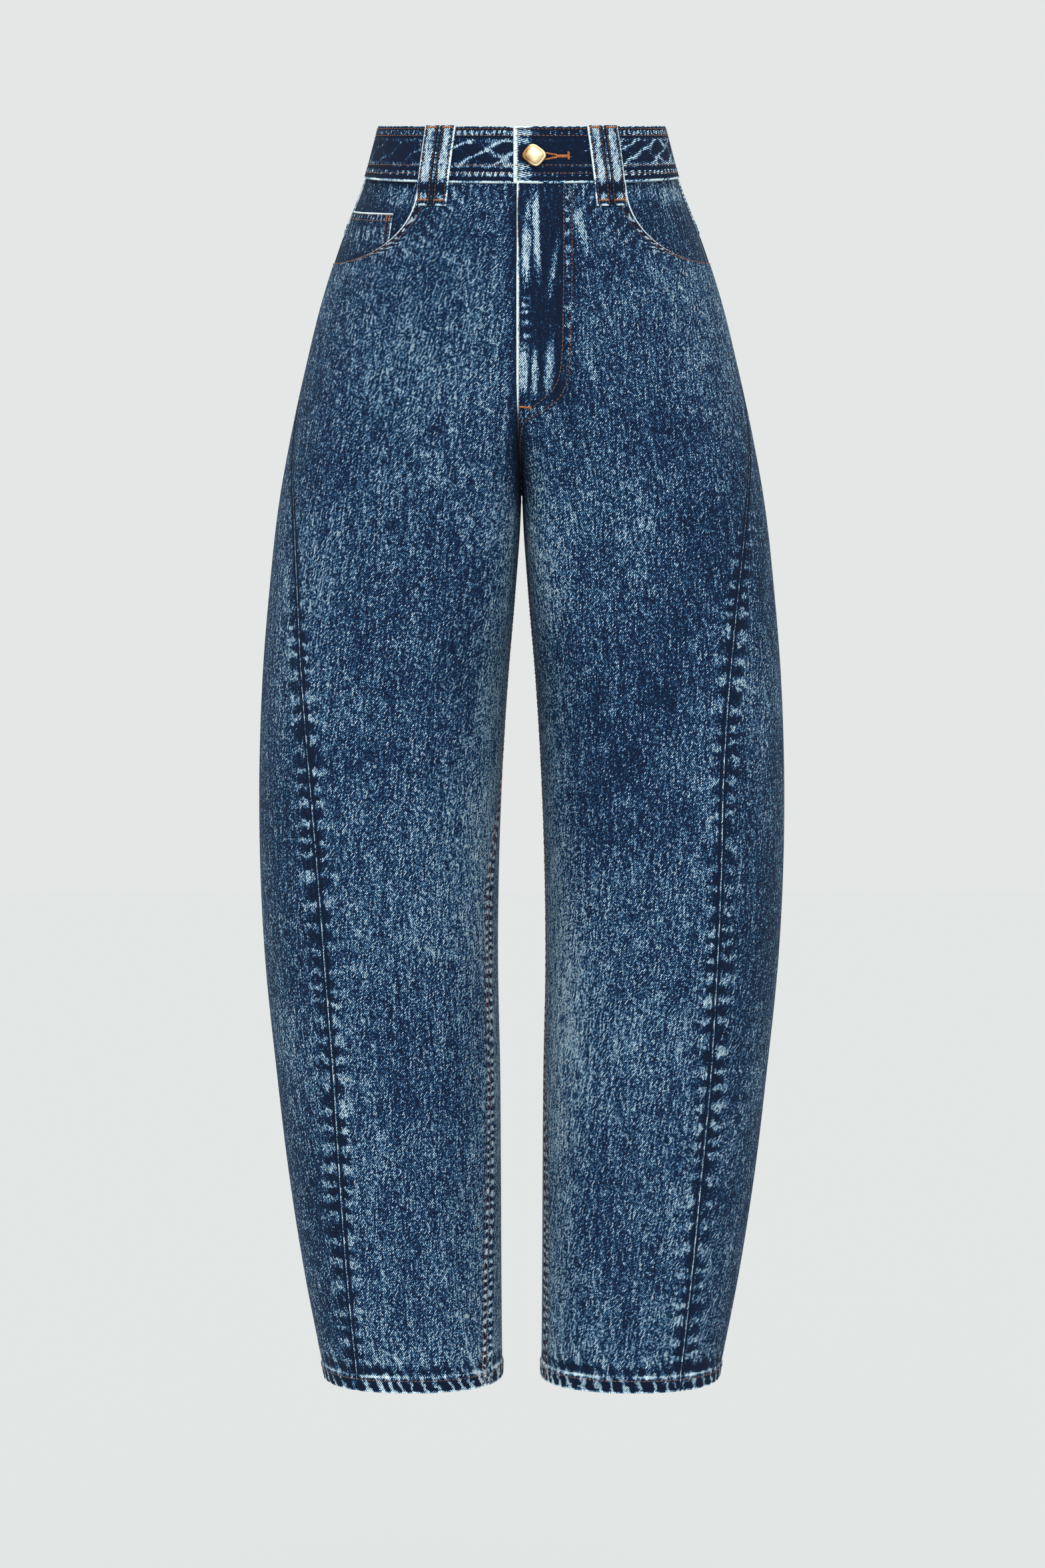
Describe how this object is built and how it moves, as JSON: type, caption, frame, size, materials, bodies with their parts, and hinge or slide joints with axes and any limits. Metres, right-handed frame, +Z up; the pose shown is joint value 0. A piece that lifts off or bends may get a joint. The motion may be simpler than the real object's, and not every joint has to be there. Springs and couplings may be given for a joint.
{
  "type": "barrel leg jeans",
  "caption": "Hollow high-waisted barrel leg denim jeans in worn shape, with fly, scooped front pockets, paired belt loops and a metal waist button.",
  "frame": {"origin": "middle of the waist opening, level with the band's top edge at the side seams", "axes": "+Z up, -Y the garment's front, +X the wearer's left"},
  "size_m": [0.4295, 0.2449, 1.041],
  "materials": {
    "denim": "acid-washed indigo denim",
    "button_metal": "brushed"
  },
  "bodies": {
    "root": {"front_left": "denim", "front_right": "denim", "back_left": "denim", "back_right": "denim", "yoke_left": "denim", "yoke_right": "denim", "pocket_facing_left": "denim", "pocket_facing_right": "denim", "coin_pocket": "denim", "waistband_left": "denim", "waistband_right": "denim", "button": "button_metal", "belt_loop_front_left_a": "denim", "belt_loop_front_left_b": "denim", "belt_loop_front_right_a": "denim", "belt_loop_front_right_b": "denim", "belt_loop_back_a": "denim", "belt_loop_back_b": "denim"}
  },
  "joints": []
}
